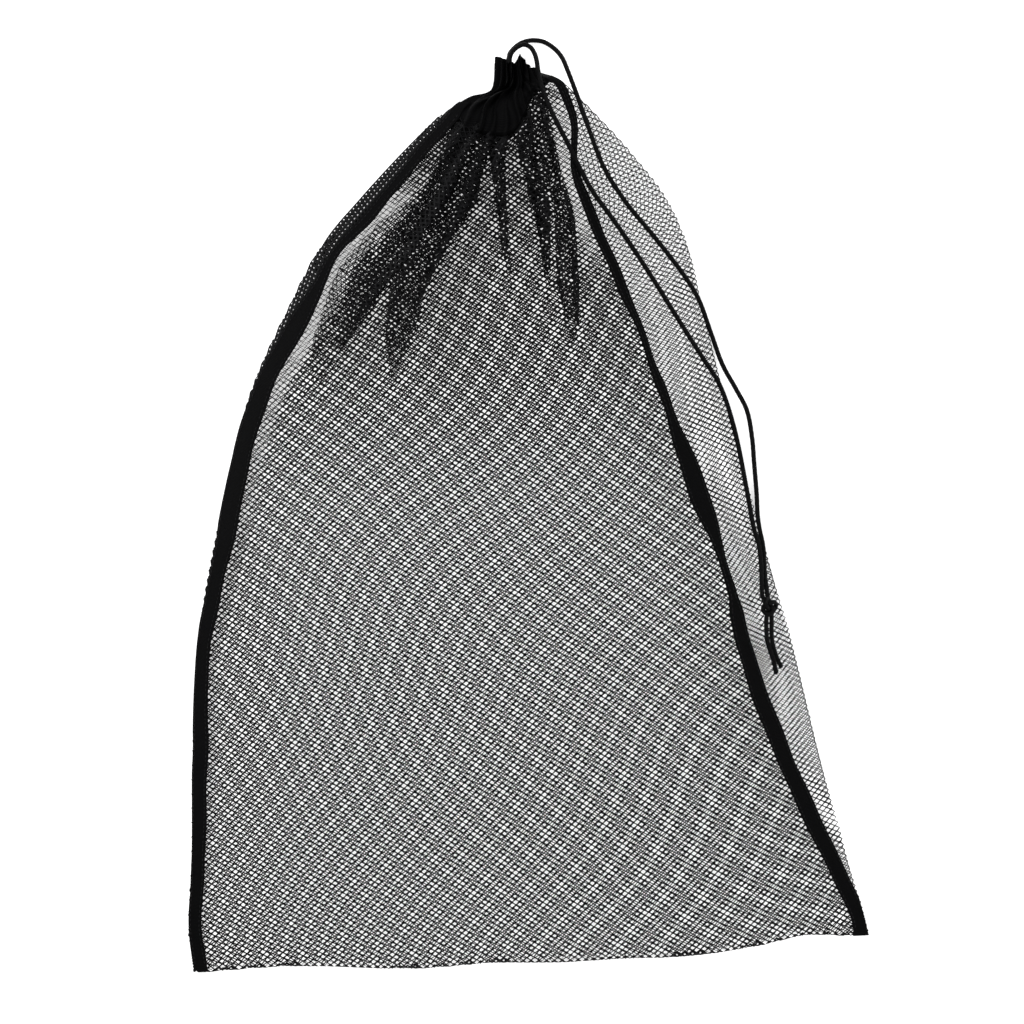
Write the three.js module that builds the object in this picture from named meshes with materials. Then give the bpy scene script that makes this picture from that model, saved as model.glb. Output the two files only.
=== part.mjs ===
// Netting drawstring bag lying on its back, in millimetres.
// X runs across the bag, Y from the bottom fold to the mouth, Z up from the floor.
import * as THREE from "three";
import { LoftGeometry } from "three/addons/geometries/LoftGeometry.js";

// Sizes of the cloth, the tapes and the cord
const NET_WALL = 1.2;
const TAPE_WIDTH = 10;
const TAPE_THICK = 1.2;
const GAP = 0.35;
const CORD_RADIUS = 1.75;
const CORD_SIDES = 8;
const CORD_STEP = 7.5;

// Height of the side edges above the floor, flat out and at the gathered neck
const EDGE_FLAT = 2;
const EDGE_NECK = 14;

// How full the top is: the power across the section, then the roundness flat out and at the neck
const ARCH_POWER = 2.4;
const ROUND_FLAT = 0.9;
const ROUND_NECK = 0.55;

// How far out the underside stays on the floor, flat out and at the neck
const UNDER_FLAT = 60;
const UNDER_NECK = 3;

// Row of the section table where the netting ends and the casing begins
const NECK_ROW = 12;
const TOP_ROW = 15;
const FOLD_LINE_INSIDE = 0.2;
const FOLD_LINE_HEIGHT = 2.5;
const INSIDE_MARGIN = 2;

// Knot of the two cords, tilted to lie on the slope of the bag's right side
const KNOT = { x: 178.5, y: -68, z: 13.6, radius: 4, tube: 1.6, lean: 0.52, segments: 40, sides: 6 };

// Waves along the top edge of the casing
const RIM_WAVES = 2;
const RIM_DEPTH = 3;

// Hole through the drawn casing, straight along Y
const HOLE = { x: -11, z: 15, halfWidth: 9, halfHeight: 7 };

// One row per section: outline points, sag of the section line towards the bottom, height of the top,
// share of neck shape, seam lines measured in from the two outlines, and share of the folds' heights
const SECTION_COLUMNS = [
  "leftX", "leftY", "rightX", "rightY", "bow", "crown", "neck", "leftInset", "rightInset", "folds",
];
const SECTIONS = [
  [-252.5, -344.5, 255, -315, 7, 2, 0, 6, 6, 0],
  [-256.5, -307, 248.5, -291, 15, 20, 0, 5.6, 6.5, 0],
  [-253.8, -251, 234.6, -243, 19, 33, 0, 6.2, 14.5, 0],
  [-253.3, -176, 216.7, -176, 22, 44, 0, 6.6, 27.5, 0],
  [-249.2, -93, 196.7, -95, 28, 53, 0, 6.4, 35.7, 0],
  [-234.8, -11, 173.5, -13, 35, 60, 0, 8.3, 34, 0.05],
  [-211.6, 87, 148, 83, 40, 62, 0, 7.8, 42, 0.25],
  [-178.3, 162, 130, 156, 42, 56, 0, 12.9, 47.5, 0.6],
  [-156.3, 203, 120, 198, 43, 48, 0, 11.2, 54, 0.85],
  [-128.3, 237, 103, 237, 40, 40, 0.05, 13.5, 52.5, 1],
  [-94, 274, 74, 274, 26, 34, 0.3, 11, 40, 0.9],
  [-69, 298, 46, 303, 14, 32, 0.75, 9, 15, 0.6],
  [-60, 306, 27, 321, 10, 31, 1, 8, 8, 0.4],
  [-48, 312.2, 19, 327, 7, 33, 1, 8, 8, 0.5],
  [-31, 317, 12, 330, 2, 31, 1, 7, 8, 0.55],
  [-28, 337.5, 7, 333, -4, 27, 1, 7, 8, 0.6],
];

// One row per gather on the front: place between the tapes, half width there, height, first row it reaches
const FOLD_COLUMNS = ["across", "width", "height", "start"];
const FOLDS = [
  [0.08, 0.028, 9, 7.5],
  [0.21, 0.034, 18, 5.4],
  [0.33, 0.03, 14, 6.2],
  [0.46, 0.028, 9, 7.4],
  [0.59, 0.03, 13, 6.4],
  [0.7, 0.028, 11, 6.8],
  [0.82, 0.034, 17, 5.6],
  [0.93, 0.026, 9, 7.6],
];

// Places where the bottom fold lies above or below its plain curve: share across, half width there, rise
const RISE_COLUMNS = ["across", "width", "height"];
const RISES = [
  [0.15, 0.13, 5.6],
  [0.44, 0.075, 2.8],
  [0.73, 0.07, -2],
  [0.905, 0.057, 5.2],
];

// Broad dents in the top: centre, radius and depth
const DENT_COLUMNS = ["x", "y", "radius", "depth"];
const DENTS = [
  [-30, -60, 90, 8],
  [60, 60, 80, 7],
  [-130, 40, 60, 6],
  [110, -160, 80, 6],
  [-110, -210, 70, 5],
];

// Points along the cord: from the casing down to the knot, then the two ends below it
const CORD_ROUTES = {
  drawstring_outer: [
    [-15.8, 340.8, 20.4], [-15, 344.2, 17.8], [-12.6, 347.8, 14.6], [-8, 352.2, 10.2], [-2.2, 355, 6],
    [3.6, 355.9, 3.2], [10, 355, 2.2], [17.6, 350.2, 3.6], [23.6, 342.6, 9], [28, 331.6, 16],
    [34.4, 314, 20.8],
    [43, 289, 24.6], [55, 258, 25.4],
    [70.5, 233.5, 24.4], [93, 206.5, 20.8], [116, 177.5, 13.6], [126, 161.5, 8.8], [135.6, 136, 5.2],
    [144.2, 113, 2.6], [154.2, 95, 2.2], [162.4, 79, 2.2], [166.4, 58, 2.2], [167.8, 41, 2.2],
    [169.8, 15.5, 2.6], [170.4, 0, 4.8], [171.8, -10.5, 5.9], [174.2, -22, 6.6], [175, -33, 8.3],
    [175.4, -44, 9.9], [176.6, -54, 10.8], [177.4, -60.5, 11.2],
  ],
  drawstring_inner: [
    [-14.8, 341.2, 24.4], [-13.4, 344.6, 22], [-9.4, 348.8, 18.8], [-4.4, 350.8, 17.2],
    [0.2, 348.8, 17.6], [3.2, 344, 20], [4.8, 338, 24.4], [5.8, 330.5, 28.6], [8.4, 317.5, 33.6],
    [17.4, 295, 38], [28, 275, 34.2], [34.8, 261, 33],
    [46, 240.5, 32.1], [61, 220, 30.7], [75.6, 199, 29.6], [91.8, 174.5, 27], [111, 144.5, 21.8],
    [127.8, 119, 14.6], [141.6, 98, 7.8], [152.4, 67, 5], [161.3, 23.5, 7.2], [165, 2, 8.7],
    [167.6, -11, 9.3], [171, -22, 9.4], [172.3, -33, 11], [172.7, -44, 12.6], [173, -54, 13],
    [173.4, -60.5, 13.5],
  ],
  drawstring_tail_inner: [
    [176.4, -75.8, 14.2], [176.2, -85, 15.2], [176.8, -93.5, 15.8], [180, -104, 16], [182.2, -111, 15],
    [183.6, -118.6, 15],
  ],
  drawstring_tail_outer: [
    [180.2, -75.6, 12.2], [180.1, -85, 13.2], [180.6, -94, 13.9], [183, -103.4, 13.7], [185.4, -109, 13.1],
    [187.8, -113.8, 12.5],
  ],
};

// Rows where the netting is built, close together where it is gathered
const NET_ROWS = [
  0, 0.4, 1, 2, 3, 4, 5, 5.7, 6.3, 7, 7.5, 8, 8.5, 9, 9.5, 10, 10.5, 11, 11.5, NECK_ROW,
];
const CASING_ROWS = [NECK_ROW, 12.6, 13.2, 13.8, 14.4, TOP_ROW];

const named = (columns, rows) =>
  rows.map((row) => Object.fromEntries(columns.map((name, index) => [name, row[index]])));
const sections = named(SECTION_COLUMNS, SECTIONS);
const folds = named(FOLD_COLUMNS, FOLDS);
const rises = named(RISE_COLUMNS, RISES);
const dents = named(DENT_COLUMNS, DENTS);

const mix = THREE.MathUtils.lerp;
const clamp = THREE.MathUtils.clamp;

// Values of the section table between its rows, on a smooth curve through them
function sectionAt(at) {
  const start = clamp(Math.floor(at), 0, sections.length - 2);
  const part = at - start;
  const result = {};
  for (const name of SECTION_COLUMNS) {
    const value = (index) => sections[clamp(index, 0, sections.length - 1)][name];
    const near = value(start);
    const far = value(start + 1);
    const leave = (far - value(start - 1)) / 2;
    const arrive = (value(start + 2) - near) / 2;
    const square = part * part;
    const cube = square * part;
    result[name] = near * (2 * cube - 3 * square + 1) + leave * (cube - 2 * square + part)
      + far * (3 * square - 2 * cube) + arrive * (cube - square);
  }
  result.at = at;
  result.width = Math.hypot(result.rightX - result.leftX, result.rightY - result.leftY);
  result.tapeHalf = TAPE_WIDTH / 2 / result.width;
  result.leftSeam = result.leftInset / result.width;
  result.rightSeam = 1 - result.rightInset / result.width;
  result.frontStart = result.leftSeam + result.tapeHalf;
  result.frontEnd = result.rightSeam - result.tapeHalf;
  result.edge = mix(EDGE_FLAT, EDGE_NECK, result.neck);
  return result;
}

// Rise of the bottom fold, which fades out by the first row above it
function riseAt(section, share) {
  let height = 0;
  for (const rise of rises) {
    const offset = (share - rise.across) / rise.width;
    height += rise.height * Math.exp(-offset * offset);
  }
  return height * clamp(1 - section.at, 0, 1);
}

// Plan position at a share of the way from the left outline to the right one
function planAt(section, share) {
  const rim = clamp(section.at - TOP_ROW + 1, 0, 1) * RIM_DEPTH * Math.sin(2 * Math.PI * RIM_WAVES * share);
  const sag = section.bow * 4 * share * (1 - share);
  return {
    x: mix(section.leftX, section.rightX, share),
    y: mix(section.leftY, section.rightY, share) - sag + rim + riseAt(section, share),
  };
}

function foldHeight(section, share) {
  const front = (share - section.frontStart) / (section.frontEnd - section.frontStart);
  let height = 0;
  for (const fold of folds) {
    const grown = THREE.MathUtils.smoothstep(section.at, fold.start, fold.start + 3);
    const offset = (front - fold.across) / fold.width;
    height += fold.height * grown * section.folds * Math.exp(-offset * offset);
  }
  return height;
}

function dentDepth(plan) {
  let depth = 0;
  for (const dent of dents) {
    const away = Math.hypot(plan.x - dent.x, plan.y - dent.y) / dent.radius;
    depth += dent.depth * Math.exp(-away * away);
  }
  return depth;
}

function topHeight(section, share) {
  const side = Math.abs(2 * clamp(share, 0, 1) - 1);
  const round = mix(ROUND_FLAT, ROUND_NECK, section.neck);
  const arch = (1 - side ** ARCH_POWER) ** round;
  const dent = dentDepth(planAt(section, share)) * arch * (1 - section.neck);
  const lift = (section.crown - section.edge) * arch;
  return section.edge + lift + foldHeight(section, share) - dent * Math.min(1, section.crown / 40);
}

function underHeight(section, share) {
  const side = Math.abs(2 * clamp(share, 0, 1) - 1);
  return section.edge * side ** mix(UNDER_FLAT, UNDER_NECK, section.neck);
}

// Shares across a section: the two edges, three lines under each tape, and the gathers between them
function columnShares(section) {
  const front = [];
  folds.forEach((fold, index) => {
    const next = folds[index + 1];
    front.push(fold.across - fold.width, fold.across, fold.across + fold.width);
    if (next) {
      front.push((fold.across + next.across) / 2);
    }
  });
  const span = section.frontEnd - section.frontStart;
  const { leftSeam, rightSeam, tapeHalf } = section;
  const afterTape = rightSeam + tapeHalf;
  return [
    0,
    leftSeam - tapeHalf, leftSeam, leftSeam + tapeHalf,
    ...front.map((share) => section.frontStart + span * share),
    rightSeam - tapeHalf, rightSeam, afterTape,
    mix(afterTape, 1, 0.3), mix(afterTape, 1, 0.6), mix(afterTape, 1, 0.85),
    1,
  ];
}

// Ring over the top from left to right, then back along the underside
function ring(shares, top, under) {
  const over = shares.map((share, index) => top(share, index));
  const back = shares.slice(1, -1).map((share, index) => under(share, index + 1));
  return [...over, ...back.reverse()];
}

// Outside of the cloth, or the bottom fold where a flat height is given
function outerRing(at, flatHeight) {
  const section = sectionAt(at);
  const point = (share, height) => {
    const plan = planAt(section, share);
    return new THREE.Vector3(plan.x, plan.y, flatHeight ?? height);
  };
  const top = (share) => point(share, topHeight(section, share));
  return ring(columnShares(section), top, (share) => point(share, underHeight(section, share)));
}

// Inside of the netting, one wall in from the outside
function innerRing(at, flatHeight) {
  const section = sectionAt(at);
  const margin = INSIDE_MARGIN / section.width;
  const inside = (share) => margin + share * (1 - 2 * margin);
  const point = (share, height) => {
    const plan = planAt(section, inside(share));
    return new THREE.Vector3(plan.x, plan.y, flatHeight ?? height);
  };
  const floor = (share) => underHeight(section, inside(share)) + NET_WALL;
  const top = (share) => {
    const step = 0.5 / section.width;
    const here = inside(share);
    const slope = topHeight(section, here + step) - topHeight(section, here - step);
    const ceiling = topHeight(section, here) - NET_WALL * Math.hypot(1, slope);
    return point(share, Math.max(ceiling, floor(share) + 0.4));
  };
  const edge = (share, index) => (index === 0 || share === 1 ? point(share, section.edge) : top(share));
  return ring(columnShares(section), edge, (share) => point(share, floor(share)));
}

function netGeometry() {
  const open = NET_ROWS.slice(1);
  const outside = [outerRing(0, EDGE_FLAT), ...open.map((at) => outerRing(at))];
  const inside = open.reverse().map((at) => innerRing(at));
  return new LoftGeometry([...outside, ...inside, innerRing(FOLD_LINE_INSIDE, FOLD_LINE_HEIGHT)]);
}

// Casing: ruffled outside and a plain hole through the middle
function casingGeometry() {
  const outside = CASING_ROWS.map((at) => outerRing(at));
  const lift = new THREE.Vector3(0, GAP, 0);
  outside.forEach((points) => points.forEach((point) => point.add(lift)));
  const inside = outside.map((points) => {
    const topCount = points.length / 2 + 1;
    return points.map((point, index) => {
      const turn = Math.PI * (1 - index / (topCount - 1));
      const x = HOLE.x + HOLE.halfWidth * Math.cos(turn);
      const z = HOLE.z + HOLE.halfHeight * Math.sin(turn);
      return new THREE.Vector3(x, point.y, z);
    });
  });
  return new LoftGeometry([...outside, ...inside.reverse(), outside[0]]);
}

// Tape along a seam, lying on the top with a small gap under it
function tapeGeometry(seamName, firstRow) {
  const rows = NET_ROWS.map((at) => Math.max(at, firstRow));
  rows[rows.length - 1] = NECK_ROW;
  const rings = rows.map((at) => {
    const section = sectionAt(at);
    const shares = [-1, 0, 1].map((side) => section[seamName] + side * section.tapeHalf);
    const lifted = (share, height) => {
      const step = 0.5 / section.width;
      const slope = topHeight(section, share + step) - topHeight(section, share - step);
      const plan = planAt(section, share);
      const normal = new THREE.Vector3(-slope, 0, 1).normalize();
      return new THREE.Vector3(plan.x, plan.y, topHeight(section, share)).addScaledVector(normal, height);
    };
    const over = shares.map((share) => lifted(share, GAP + TAPE_THICK));
    const under = shares.map((share) => lifted(share, GAP));
    return [...over, ...under.reverse()];
  });
  return new LoftGeometry(rings, { capStart: true, capEnd: true });
}

function cordGeometry(points) {
  const path = new THREE.CatmullRomCurve3(points.map((point) => new THREE.Vector3(...point)));
  const corners = [];
  for (let side = 0; side < CORD_SIDES; side += 1) {
    const turn = (2 * Math.PI * side) / CORD_SIDES;
    corners.push(new THREE.Vector2(CORD_RADIUS * Math.cos(turn), CORD_RADIUS * Math.sin(turn)));
  }
  const steps = Math.round(path.getLength() / CORD_STEP);
  const options = { steps, extrudePath: path, bevelEnabled: false };
  return new THREE.ExtrudeGeometry(new THREE.Shape(corners), options);
}

const colours = { net: 0x1b1b1d, tape: 0x101012, casing: 0x141416, cord: 0x0b0b0c };
const materials = Object.fromEntries(
  Object.entries(colours).map(([name, color]) => {
    const material = new THREE.MeshStandardMaterial({ color });
    material.name = name;
    return [name, material];
  }),
);

const bag = new THREE.Group();
function addPiece(name, geometry, material) {
  const piece = new THREE.Mesh(geometry, materials[material]);
  piece.name = name;
  bag.add(piece);
  return piece;
}

addPiece("net_body", netGeometry(), "net");
addPiece("mouth_casing", casingGeometry(), "casing");
addPiece("side_tape_left", tapeGeometry("leftSeam", 0.1), "tape");
addPiece("side_tape_right", tapeGeometry("rightSeam", 0.1), "tape");

for (const [name, points] of Object.entries(CORD_ROUTES)) {
  addPiece(name, cordGeometry(points), "cord");
}

const knotShape = new THREE.TorusKnotGeometry(KNOT.radius, KNOT.tube, KNOT.segments, KNOT.sides, 2, 3);
const knot = addPiece("drawstring_knot", knotShape, "cord");
knot.position.set(KNOT.x, KNOT.y, KNOT.z);
knot.rotation.y = KNOT.lean;

export default bag;
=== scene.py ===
"""Netting drawstring bag lying on its back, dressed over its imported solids."""

import math
from types import SimpleNamespace

import bmesh
import bpy
import numpy as np
from mathutils import Matrix, Vector, kdtree


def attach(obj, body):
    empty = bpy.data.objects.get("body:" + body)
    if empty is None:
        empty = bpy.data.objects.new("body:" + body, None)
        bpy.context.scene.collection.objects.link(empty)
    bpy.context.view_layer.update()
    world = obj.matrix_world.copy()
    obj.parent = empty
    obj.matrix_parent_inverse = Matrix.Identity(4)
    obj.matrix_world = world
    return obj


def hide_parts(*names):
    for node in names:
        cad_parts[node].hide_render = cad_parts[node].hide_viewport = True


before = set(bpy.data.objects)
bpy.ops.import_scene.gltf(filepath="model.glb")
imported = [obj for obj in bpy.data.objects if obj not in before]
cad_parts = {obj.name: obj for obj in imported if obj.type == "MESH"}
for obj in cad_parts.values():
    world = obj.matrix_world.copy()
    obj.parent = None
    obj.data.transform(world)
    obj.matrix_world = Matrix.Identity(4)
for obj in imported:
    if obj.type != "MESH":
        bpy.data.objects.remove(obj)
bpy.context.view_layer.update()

# Sizes are in millimetres up to the moment a mesh is made
METRE = 0.001

# View of the photograph: straight down, and how much of the floor it takes in
CAMERA_CENTRE = (-13.5, 2.6)
CAMERA_HEIGHT = 2600
CAMERA_VIEW = 768
SENSOR = 36

# Floor and lamps: place and width in metres, and power
FLOOR_HALF = 4
FLOOR_GLOW = 0.55
SURROUND = 0.5
LAMPS = {
    "key": ((-1.2, 1.1, 2.2), 1.2, 55),
    "fill": ((1.6, -0.8, 1.8), 1.6, 28),
}

# Blacks of the yarn, of tape, casing and cord, and of the thread
YARN_DARK = (0.003, 0.003, 0.0034)
YARN_LIGHT = (0.012, 0.012, 0.013)
CLOTH_DARK = (0.0006, 0.0006, 0.0007)
CLOTH_LIGHT = (0.004, 0.004, 0.0044)
THREAD_LIGHT = (0.014, 0.014, 0.015)

# Diamonds of the netting, widths of a strand from place to place and half its thickness
HOLE_WIDE = 5.8
HOLE_HIGH = 4.3
STRAND_WIDE = 0.9
STRAND_WIDE_UPPER = 1.06
STRAND_GROWS = (0, 160)
STRAND_GATHERED = 1.3
STRAND_PULLED = 0.56
STRAND_UNDER_PULLED = 0.7
STRAND_LIGHT = 0.36
STRAND_BUNCHED = 2.4
STRAND_HALF = 0.34
FRONT_TURN = 0
BACK_TURN = math.radians(13.5)
NET_FLOOR = 0.5
FRONT_PARTS = {"lower": (-366, -140), "middle": (-140, 60), "upper": (60, 334)}
BACK_PARTS = {"lower": (-356, -150), "middle": (-150, 40), "upper": (40, 360)}
SEAM_OVERLAP = 2.5

# Boxes of the plan that take in the front, and the back with what is turned up over its sides
FRONT_SIDES = (-262, 262)
BACK_SIDES = (-290, 350)

# How the lattice is pulled out of true: waves in millimetres, where they start and the bow of the rows
SLACK = 2.1
SLACK_SECOND = 0.6
LONG_WAVES = SimpleNamespace(first_y=61, first_x=140, second_x=47, second_y=83)
WIDE_WAVES = SimpleNamespace(first_x=71, first_y=120, second_y=43, second_x=97)
SLACK_FRONT = (0.4, 0.00014)
SLACK_BACK = (2.3, 0)
BOW_MIDDLE = -81

# Light strips beside the tapes: width, how light, rows of the section table where each one starts and ends
LIGHT_STRIPS = {
    "left": (15, 1, (4.6, 7), (9, 10)),
    "right": (14, 0.7, (8, 9.4), (11.4, 12.4)),
}

# Borders of the light strips: where they grow out of the tape, and how soft the far side is
STRIP_STARTS = (-1, 0)
STRIP_SOFT = 2

# Rows where the front is gathered, the row of the dark bottom fold and how steeply it turns under
GATHER_ROWS = (8.8, 10.2)
FOLD_ROW = 0.1
FOLD_SLOPE = 0.6

# Back: its first row, the lowest row of what is turned up, and the path that runs over a side
BACK_FIRST_ROW = 0.02
WRAP_FIRST_ROW = -0.5
WRAP_REACH = 1.3
WRAP_STEPS = 36
OUTLINE_STEPS = 2400

# Cord, its braid and its melted ends
CORD_RADIUS = 1.75
CORD_SIDES = 20
CORD_STEP = 0.9
BRAID_ROUND = 5
BRAID_LONG = 4.6
BRAID_RELIEF = 0.11
CORD_INSIDE = 6
CORD_OUT = (0.15, 1, -0.2)
CORD_SPAN_PARTS = 60
CORD_FIRST_SIDE = (0.3, 0.2, 1)
MELTED_END = 2.2
MELTED_SWELL = 0.5
MELTED_CLOSE = 1.3
MELTED_LEAST = 0.2

# Tapes along the seams and the stitches that hold them
TAPE_THICK = 1.2
TAPE_LIFT = 0.5
TAPE_STEPS = 420
TAPE_SIDES = 28
TAPE_FIRST_ROW = 0.03
TAPE_SHARES = (0.002, 0.998)
TAPE_SQUARE = SimpleNamespace(across=0.6, up=0.35)
STITCH_STEP = 3.6
STITCH_LONG = 2.5
STITCH_RADIUS = 0.26
STITCH_FLAT = 0.8
STITCH_IN = 1.7
STITCH_LIFT = 0.02
STITCH_ENDS = (6, 12)
CORNER_ROUND = 1.2
CORNER_ROWS = (0, 0.3)
TOP_LEAN = 3.5
TOP_LEAN_ROWS = (11, 12.2)

# Drift of the tapes from side to side and swell of their width: height of each wave and its length
DRIFT_SLOW = (0.5, 21)
DRIFT_QUICK = (0.35, 8.3)
TAPE_SWELL = (0.25, 13)

# Step across the bag over which its slope is taken
SLOPE_STEP = 0.5

# Casing round the drawn mouth
CASING_ROUND = 300
CASING_LONG = 34
CASING_WALL = 1.6
CASING_START = 10.8
CASING_START_RIGHT = 12.85
CASING_CLIMB = (0.42, 0.9)
CASING_BULGE = 7.5
CASING_BULGE_START = 0.45
CASING_BULGE_ROWS = 0.6
CASING_BULGE_ENDS = (12.1, 13.6)
CASING_OVERLAP = 0.35
CASING_OUTSIDE = 0.55
CASING_CLOSING = (12, 20)
CASING_WEAVE = (190, 42)
CASING_WORN = 0.96

# Ruffle of the casing: its pleats and their drift, how deep they go, and the waves of its rim
CASING_PLEATS = 17
CASING_DRIFT = (1.3, 0.9, 0.15)
CASING_DEPTHS = (0.06, 0.62)
CASING_DEEPENS = 0.3
CASING_DEEPEST = 0.97
CASING_RIM = (1.3, 0.8)
CASING_RIM_ROW = 14
HOLE = SimpleNamespace(x=-11, z=15, half_wide=8, half_high=6.5)

# Knot of the two cords, tilted to lie on the slope of the right side
KNOT = SimpleNamespace(
    x=178.5, y=-68, z=13.6, lean=0.52, radius=3.9, rise=1.75, tube=1.75, steps=300, sides=16,
    cord_inside=0.4,
)

# Form of the bag, the same as in the solids
EDGE_FLAT = 2
EDGE_NECK = 14
ARCH_POWER = 2.4
ROUND_FLAT = 0.9
ROUND_NECK = 0.55
UNDER_FLAT = 60
UNDER_NECK = 3
TAPE_WIDTH = 10
TOP_ROW = 15
RIM_WAVES = 2
RIM_DEPTH = 3
FOLD_GROWS = 3
DENT_CROWN = 40

# Share of the gathers' height that the netting takes, and rows over which the back comes down from the fold
FOLD_SHARE = 0.6
UNDER_FOLD_ROWS = 0.4

# Search for the row of a point: first and last row, halvings, and how far apart rows are below the fold
SEARCH_ROWS = (-0.9, 13.4)
SEARCH_HALVINGS = 24
BELOW_FOLD = 40

OUTLINE_COLUMNS = ["left_x", "left_y", "right_x", "right_y", "bow"]
SECTION_COLUMNS = OUTLINE_COLUMNS + ["crown", "neck", "left_inset", "right_inset", "folds"]
SECTIONS = np.array([
    [-252.5, -344.5, 255, -315, 7, 2, 0, 6, 6, 0],
    [-256.5, -307, 248.5, -291, 15, 20, 0, 5.6, 6.5, 0],
    [-253.8, -251, 234.6, -243, 19, 33, 0, 6.2, 14.5, 0],
    [-253.3, -176, 216.7, -176, 22, 44, 0, 6.6, 27.5, 0],
    [-249.2, -93, 196.7, -95, 28, 53, 0, 6.4, 35.7, 0],
    [-234.8, -11, 173.5, -13, 35, 60, 0, 8.3, 34, 0.05],
    [-211.6, 87, 148, 83, 40, 62, 0, 7.8, 42, 0.25],
    [-178.3, 162, 130, 156, 42, 56, 0, 12.9, 47.5, 0.6],
    [-156.3, 203, 120, 198, 43, 48, 0, 11.2, 54, 0.85],
    [-128.3, 237, 103, 237, 40, 40, 0.05, 13.5, 52.5, 1],
    [-94, 274, 74, 274, 26, 34, 0.3, 11, 40, 0.9],
    [-69, 298, 46, 303, 14, 32, 0.75, 9, 15, 0.6],
    [-60, 306, 27, 321, 10, 31, 1, 8, 8, 0.4],
    [-48, 312.2, 19, 327, 7, 33, 1, 8, 8, 0.5],
    [-31, 317, 12, 330, 2, 31, 1, 7, 8, 0.55],
    [-28, 337.5, 7, 333, -4, 27, 1, 7, 8, 0.6],
])

# Gathers in the front: place between the tapes, half width there, height, first row
FOLDS = [
    (0.08, 0.028, 9, 7.5),
    (0.21, 0.034, 18, 5.4),
    (0.33, 0.03, 14, 6.2),
    (0.46, 0.028, 9, 7.4),
    (0.59, 0.03, 13, 6.4),
    (0.7, 0.028, 11, 6.8),
    (0.82, 0.034, 17, 5.6),
    (0.93, 0.026, 9, 7.6),
]

# Places where the bottom fold lies above or below its plain curve: share across, half width there, rise
RISES = [
    (0.15, 0.13, 5.6),
    (0.44, 0.075, 2.8),
    (0.73, 0.07, -2),
    (0.905, 0.057, 5.2),
]

# Broad dents in the top: centre, radius and depth
DENTS = [
    (-30, -60, 90, 8),
    (60, 60, 80, 7),
    (-130, 40, 60, 6),
    (110, -160, 80, 6),
    (-110, -210, 70, 5),
]

# Pleats of netting laid flat on the front: lift above it, turn of the weave, width of a strand,
# and rows of y, x, half width
PLEATS = {
    "left_outer": (0.9, 31, 0.62, [
        (92, -160, 0), (112, -156, 8), (130, -149, 13), (150, -138, 17), (162, -132, 19), (173, -126, 20),
        (184, -117, 20), (195, -109, 19), (207, -100, 17), (218, -90, 14), (229, -80, 11), (240, -71, 9),
        (264, -62, 8), (285, -52, 7), (300, -44, 6),
    ]),
    "left_core": (1.8, -8, 0.8, [
        (120, -142, 0), (136, -136, 5), (150, -130, 9), (162, -124, 11), (173, -117, 11), (184, -108, 11),
        (195, -100, 10), (207, -92, 10), (218, -85, 9), (229, -77, 8), (240, -69, 8), (264, -60, 7),
        (290, -50, 6),
    ]),
    "left_inner": (2.6, 12, 1.06, [
        (96, -101, 0), (112, -100, 5), (130, -97, 10), (150, -93.5, 13), (162, -91.5, 13), (173, -88, 14),
        (184, -82, 13), (195, -76, 13), (207, -70, 13), (218, -65, 15), (229, -59, 15), (240, -52, 15),
        (264, -50, 15), (285, -44, 14), (305, -36, 11),
    ]),
    "left_streak": (4.6, -17, 1.4, [
        (138, -134, 0), (150, -126, 3), (173, -109, 4.5), (195, -91, 5), (218, -78, 5.5), (240, -62, 6),
        (264, -53, 6), (285, -46, 6), (300, -40, 5),
    ]),
    "left_edge": (4.6, 8, 1.55, [
        (150, -86, 0), (164, -80, 2.6), (184, -71, 3), (207, -61, 3.4), (229, -48, 3.4), (252, -38.5, 3.6),
        (280, -30, 4), (300, -25, 4),
    ]),
    "middle": (0.9, 26, 1.7, [
        (172, -13.5, 0), (184, -16, 2.6), (200, -19, 3.4), (218, -20, 4), (240, -22, 4.6), (254, -23.5, 5.5),
        (268, -24.5, 6.5), (290, -21, 8), (305, -18, 7),
    ]),
    "right_inner": (0.9, -22, 1.5, [
        (160, 13.5, 0), (173, 13, 2.4), (195, 11.5, 4), (218, 9.5, 6), (229, 8, 7), (240, 5, 8),
        (252, 2, 6.5), (264, -1.5, 6.5), (290, -6, 8), (310, -8, 7),
    ]),
    "right_wide": (2.6, 20, 1.06, [
        (122, 31, 0), (136, 30.5, 4.5), (150, 30, 6.5), (173, 27.5, 9), (195, 26.5, 8.5), (218, 25, 8),
        (229, 24, 7.5), (240, 20.5, 7), (252, 15.5, 6), (264, 13, 6.5), (290, 6, 8), (314, 1, 7),
    ]),
    "right_edge": (4.6, 3, 1.35, [
        (136, 35, 0), (150, 34, 2.4), (190, 33, 2.6), (218, 31, 2.6), (240, 26, 2.6), (252, 21, 2.8),
        (264, 18.5, 3), (290, 12, 3.6), (318, 7, 4),
    ]),
}
PLEAT_THICK = 1.6
PLEAT_SPARE = 1.4
PLEAT_LEAST = 0.5
PLEAT_AHEAD = 2
PLEAT_LOW = 0.8
PLEAT_SETTLE = 45
PLEAT_FADE = 42
PLEAT_TIP = 0.4
PLEAT_SQUEEZE = 0.7
PLEAT_SQUEEZE_ROWS = 1.8

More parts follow.
